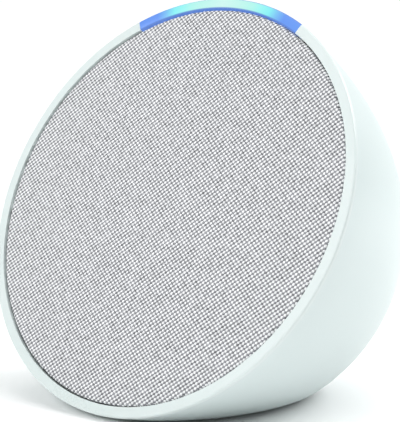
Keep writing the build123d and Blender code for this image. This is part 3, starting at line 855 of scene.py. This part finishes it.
def weaveThreads(s, alongX, half, random):
    pitch = s["weftPitch"] if alongX else s["warpPitch"]
    crossing = s["warpPitch"] if alongX else s["weftPitch"]
    width = s["weftWidth"] if alongX else s["warpWidth"]
    slant = s["weftSlant"] if alongX else s["warpSlant"]
    radius = clothRadius - s["threadInset"]
    count = int(radius / pitch)
    points, quads = [], []
    start = 0
    section = np.radians(s["section"])
    for i in range(-count, count + 1):
        wander = random.normal(0, 1, 4)
        if (i >= 0) != (half > 0):
            continue
        across = i * pitch
        reach = math.sqrt(radius**2 - across**2)
        step = crossing / s["stepsPerThread"]
        along = np.arange(-int(reach / step), int(reach / step) + 1) * step
        if len(along) < 2:
            continue
        phase = np.pi * along / crossing + np.pi * i + (np.pi if alongX else 0)
        crown = np.cos(phase)
        slow = wander[0] * np.sin(along / s["slowSway"] + wander[1])
        quick = s["quickShare"] * wander[2] * np.sin(along / s["quickSway"] + s["quickStart"] * wander[3])
        sway = s["wander"] * (slow + quick)
        breadth = width / 2 * (1 + s["crownSwell"] * crown)
        lean = slant * np.sin(phase)
        offset = np.sin(section)[None, :] * breadth[:, None] + across + (sway + lean)[:, None]
        height = -s["depth"] + s["wave"] * crown[:, None] + s["thickness"] / 2 * np.cos(section)[None, :]
        run = np.repeat(along[:, None], len(section), axis=1)
        x, y = (run, offset) if alongX else (offset, run)
        height = height - edgeDrop(np.hypot(x, y), s)
        points.append(np.stack([x, y, height], axis=-1).reshape(-1, 3))
        rows, columns = len(along), len(section)
        index = start + np.arange(rows * columns).reshape(rows, columns)
        a, b, c, d = index[:-1, :-1], index[:-1, 1:], index[1:, 1:], index[1:, :-1]
        faces = np.stack([a, b, c, d] if not alongX else [a, d, c, b], axis=-1)
        quads.append(faces.reshape(-1, 4))
        start += rows * columns
    points = np.concatenate(points)
    turn = math.radians(s["turn"])
    spin = np.array([[math.cos(turn), math.sin(turn), 0], [-math.sin(turn), math.cos(turn), 0], [0, 0, 1]])
    return points @ spin, np.concatenate(quads)


def makeGround(s):
    flat = np.linspace(s["groundMiddle"], clothRadius - s["edgeRound"], s["groundRings"])
    rounded = clothRadius - s["edgeRound"] * np.array(s["groundRounding"])
    radii = np.concatenate([flat, rounded])
    depths = -s["groundDepth"] - edgeDrop(radii, s)
    last = -(faceSettings["clothInset"] + clothSkirt)
    radii = np.append(radii, [clothRadius, clothRadius])
    depths = np.append(depths, [(depths[-1] + last) / 2, last])
    sides = s["groundSides"]
    angles = np.linspace(0, 2 * math.pi, sides, endpoint=False)
    points = [(0, 0, depths[0])]
    for radius, depth in zip(radii, depths):
        points += [(radius * math.cos(a), radius * math.sin(a), depth) for a in angles]
    points = np.array(points)
    quads = []
    for ring in range(len(radii) - 1):
        for k in range(sides):
            a = 1 + ring * sides + k
            b = 1 + ring * sides + (k + 1) % sides
            quads.append((a, a + sides, b + sides, b))
    mesh = meshFrom("clothGroundMesh", points, quads)
    addFaces(mesh, [(0, 1 + k, 1 + (k + 1) % sides) for k in range(sides)])
    return mesh


def makeCloth(s):
    random = np.random.RandomState(s["seed"])
    whiteYarn = makeYarn("polyesterYarnWhite", polyesterYarnWhite, alongX=False)
    greyYarn = makeYarn("polyesterYarnGrey", polyesterYarnGrey, alongX=True)
    backing = makeBacking(nonWovenBacking)
    ground = makeObject("clothGround", makeGround(s), backing, "housing", faceMatrix)
    for label, alongX, material in (("warp", False, whiteYarn), ("weft", True, greyYarn)):
        for side, half in (("First", -1), ("Second", 1)):
            points, quads = weaveThreads(s, alongX, half, random)
            mesh = meshFrom(label + side, points, quads)
            thread = makeObject(label + side, mesh, material, "housing", faceMatrix)
            print(label + side, len(quads) * 2, "triangles")
    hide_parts("grille_cloth")


makeCloth(weaveSettings)
print("cloth woven")


# Every CAD node that stays takes its look from the record's slot that it carries
slotLooks = {
    "white_shell": ("whiteAbsMoulded", whiteAbsMoulded),
    "white_bezel": ("whiteAbsPolished", whiteAbsPolished),
    "grille_plastic": ("greyNylonMoulded", greyNylonMoulded),
    "key_plastic": ("whiteAbsKeys", whiteAbsKeys),
    "black_plastic": ("blackAbsMoulded", blackAbsMoulded),
    "natural_plastic": ("ivoryAbsMoulded", ivoryAbsMoulded),
    "foot_rubber": ("siliconeFoot", siliconeFoot),
    "seal_rubber": ("epdmSeal", epdmSeal),
    "foam": ("polyurethaneFoam", polyurethaneFoam),
    "surround_rubber": ("nitrileSurround", nitrileSurround),
    "cone_paper": ("pressedPulpCone", pressedPulpCone),
    "spider_cloth": ("phenolicCotton", phenolicCotton),
    "former_film": ("polyimideFilm", polyimideFilm),
    "copper_wire": ("enamelledCopper", enamelledCopper),
    "ferrite": ("sinteredFerrite", sinteredFerrite),
    "zinc_steel": ("zincPlatedSteel", zincPlatedSteel),
    "screw_steel": ("blackenedSteel", blackenedSteel),
    "basket_steel": ("powderCoatedSteel", powderCoatedSteel),
    "shield_tin": ("tinPlatedSteel", tinPlatedSteel),
    "spreader_aluminium": ("rolledAluminium", rolledAluminium),
    "board_laminate": ("greenLaminate", greenLaminate),
    "white_board": ("whiteLaminate", whiteLaminate),
    "ribbon_film": ("trackedRibbon", trackedRibbon),
    "chip_epoxy": ("epoxyPackage", epoxyPackage),
    "led_ceramic": ("phosphorLamp", phosphorLamp),
    "capacitor_can": ("drawnAluminiumCan", drawnAluminiumCan),
    "silicone_pad": ("filledSilicone", filledSilicone),
    "wire_red": ("redPvc", redPvc),
    "wire_black": ("blackPvc", blackPvc),
    "contact_bronze": ("phosphorBronze", phosphorBronze),
}
looks = {slot: makeSurface(name, settings) for slot, (name, settings) in slotLooks.items()}


def dressNodes():
    for name, thing in nodes.items():
        if name in ("grille_cloth", "light_bar"):
            continue
        slots = thing.data.materials
        for i, old in enumerate(slots):
            slots[i] = looks[old.name.split(".")[0]]


dressNodes()
print("CAD nodes dressed:", len(looks), "materials")


# The light bar: one moulded arc with a rounded outer edge, sunk into the rim's gap
lightBarSettings = {
    "halfAngle": opalAcrylic["halfAngle"],
    "depth": 4.5 * mm,
    "lip": 1.0 * mm,  # thickness of the part that shows in the rim
    "spigotInset": 1.75 * mm,
    "clothGap": 0.2 * mm,
    "innerBevel": 0.12 * mm,
    "outerRound": 0.35 * mm,
    "roundSteps": 6,
    "steps": 96,
    "splitAngle": 50,
}


def makeLightBar(s):
    low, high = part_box("front_bezel")
    outer = (high.x - low.x) / 2
    inner = clothRadius + s["clothGap"]
    bevel, edge = s["innerBevel"], s["outerRound"]
    section = [(inner, -s["depth"]), (inner, -bevel), (inner + bevel, 0)]
    for i in range(s["roundSteps"]):
        turn = math.radians(90 - 90 * i / (s["roundSteps"] - 1))
        section.append((outer - edge + edge * math.cos(turn), -edge + edge * math.sin(turn)))
    spigot = outer - s["spigotInset"]
    section += [(outer, -s["lip"]), (spigot, -s["lip"]), (spigot, -s["depth"])]
    points, quads = [], []
    for i in range(s["steps"] + 1):
        turn = math.radians(90 - s["halfAngle"] + 2 * s["halfAngle"] * i / s["steps"])
        points += [(r * math.cos(turn), r * math.sin(turn), z) for r, z in section]
    count = len(section)
    for i in range(s["steps"]):
        for k in range(count):
            a, b = i * count + k, i * count + (k + 1) % count
            quads.append((a, a + count, b + count, b))
    mesh = meshFrom("lightBar", points, quads)
    first, last = range(count), range(s["steps"] * count, (s["steps"] + 1) * count)
    addFaces(mesh, [first, last[::-1]])
    bar = makeObject(
        "lightBar", mesh, makeOpalAcrylic(opalAcrylic, inner, outer), "housing", faceMatrix
    )
    softEdges = bar.modifiers.new("softEdges", "EDGE_SPLIT")
    softEdges.split_angle = math.radians(s["splitAngle"])
    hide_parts("light_bar")


makeLightBar(lightBarSettings)
print("light bar made")
